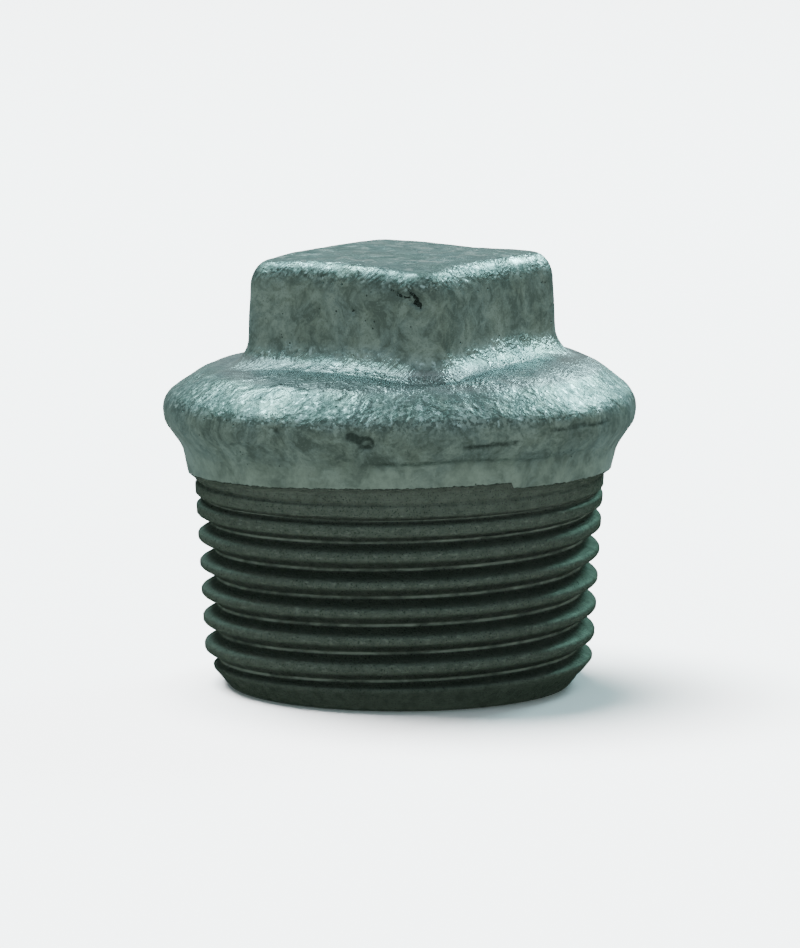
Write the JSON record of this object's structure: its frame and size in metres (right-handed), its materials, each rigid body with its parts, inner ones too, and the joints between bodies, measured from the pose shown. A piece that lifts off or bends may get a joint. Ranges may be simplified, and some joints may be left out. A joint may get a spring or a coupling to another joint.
{
  "type": "pipe plug",
  "caption": "Hollow cast plug with a tapered outside thread, a rounded collar and a square wrench head. It screws into a female pipe fitting to close the end of a pipe run.",
  "frame": {"origin": "centre of the flat end face at the thread end, on the plug's axis; the plug stands on this face", "axes": "+Z along the plug's axis from the thread end to the square head; +X and +Y square to the wrench flats"},
  "size_m": [0.0394, 0.0394, 0.036],
  "materials": {
    "galvanised_iron": "dull grey-green hot-dip zinc skin, mottled and finely pitted, with a darker cut thread"
  },
  "bodies": {
    "root": {"plug_body": "galvanised_iron"}
  },
  "joints": []
}
